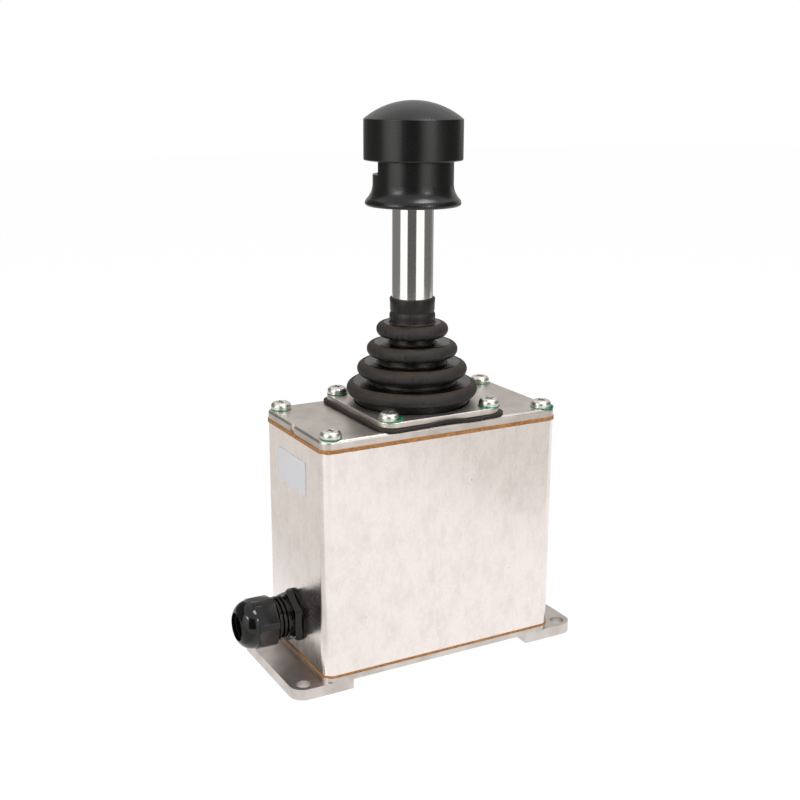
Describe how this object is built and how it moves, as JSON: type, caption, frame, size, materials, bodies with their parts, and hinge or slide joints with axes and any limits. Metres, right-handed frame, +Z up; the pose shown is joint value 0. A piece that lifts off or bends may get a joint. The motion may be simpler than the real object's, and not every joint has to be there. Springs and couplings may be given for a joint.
{
  "type": "two-axis industrial joystick",
  "caption": "Industrial joystick: a gimballed lever with a lift-collar knob and rubber bellows on an extruded metal box with a flanged base and a side cable gland.",
  "frame": {"origin": "centre of the four base bolt holes, on the face that the base stands on", "axes": "+Z up along the upright lever, +X to the right along the box's long side, +Y away from the operator; the cable gland points along -X"},
  "size_m": [0.1692, 0.0674, 0.2628],
  "materials": {
    "cast_aluminium": "sand cast and tumbled, satin",
    "extruded_aluminium": "clear anodised extrusion, fine vertical drawing lines",
    "milled_aluminium": "finely brushed",
    "cork_rubber": "orange-brown sheet gasket, matt",
    "boot_rubber": "satin moulded rubber",
    "zinc_screw": "bright zinc plate",
    "chrome_lever": "polished hard chrome",
    "knob_plastic": "satin black moulding",
    "gland_nylon": "glossy black nylon",
    "label_foil": "blank white label",
    "gimbal_steel": "ground steel",
    "bearing_bronze": "sintered bronze",
    "spring_steel": "drawn spring wire",
    "sensor_plastic": "glass filled moulding",
    "board_laminate": "green solder mask",
    "terminal_plastic": "green nylon moulding"
  },
  "bodies": {
    "root": {"base_plate": "cast_aluminium", "base_gasket": "cork_rubber", "housing_tube": "extruded_aluminium", "lid_gasket": "cork_rubber", "lid": "milled_aluminium", "lid_screws": "zinc_screw", "base_screws": "zinc_screw", "boot_retainer_plate": "milled_aluminium", "retainer_screws": "zinc_screw", "rubber_boot": "boot_rubber", "rating_label": "label_foil", "gland_body": "gland_nylon", "gland_sealing_ring": "boot_rubber", "gland_dome_nut": "gland_nylon", "gland_seal": "boot_rubber", "gland_locknut": "gland_nylon", "gimbal_brackets": "gimbal_steel", "bracket_screws": "zinc_screw", "bracket_bushes": "bearing_bronze", "lock_plate": "gimbal_steel", "lock_plate_screws": "zinc_screw", "stop_pins": "gimbal_steel", "fore_aft_spring": "spring_steel", "fore_aft_sensor": "sensor_plastic", "fore_aft_sensor_screws": "zinc_screw", "circuit_board": "board_laminate", "board_standoffs": "gimbal_steel", "board_screws": "zinc_screw", "terminal_block": "terminal_plastic"},
    "gimbal": {"gimbal_ring": "gimbal_steel", "fore_aft_shafts": "gimbal_steel", "fore_aft_arm": "gimbal_steel", "side_bushes": "bearing_bronze", "thrust_washers": "bearing_bronze", "side_sensor": "sensor_plastic", "side_sensor_screws": "zinc_screw", "side_spring": "spring_steel"},
    "handle": {"handle_rod": "chrome_lever", "pivot_block": "gimbal_steel", "side_shafts": "gimbal_steel", "side_arm": "gimbal_steel", "handle_nut": "zinc_screw", "knob_cap": "knob_plastic", "spring_plug": "knob_plastic", "lock_spring": "spring_steel"},
    "collar": {"lift_collar": "knob_plastic", "collar_pin": "gimbal_steel", "collar_pin_washer": "gimbal_steel", "lock_rod": "gimbal_steel"}
  },
  "joints": [
    {"name": "fore_aft_tilt", "type": "hinge", "parent": "root", "child": "gimbal", "pos_m": [0, 0, 0.098], "axis": [1, 0, 0], "range_deg": [-15, 15], "stiffness_Nm_per_rad": 2, "deforming": ["rubber_boot", "fore_aft_spring"]},
    {"name": "side_tilt", "type": "hinge", "parent": "gimbal", "child": "handle", "pos_m": [0, 0, 0.098], "axis": [0, 1, 0], "range_deg": [-15, 15], "stiffness_Nm_per_rad": 2, "deforming": ["rubber_boot", "side_spring"]},
    {"name": "collar_lift", "type": "slide", "parent": "handle", "child": "collar", "axis": [0, 0, 1], "range_m": [0, 0.005], "stiffness_N_per_m": 300, "springref_m": -0.01, "deforming": ["lock_spring"]}
  ]
}
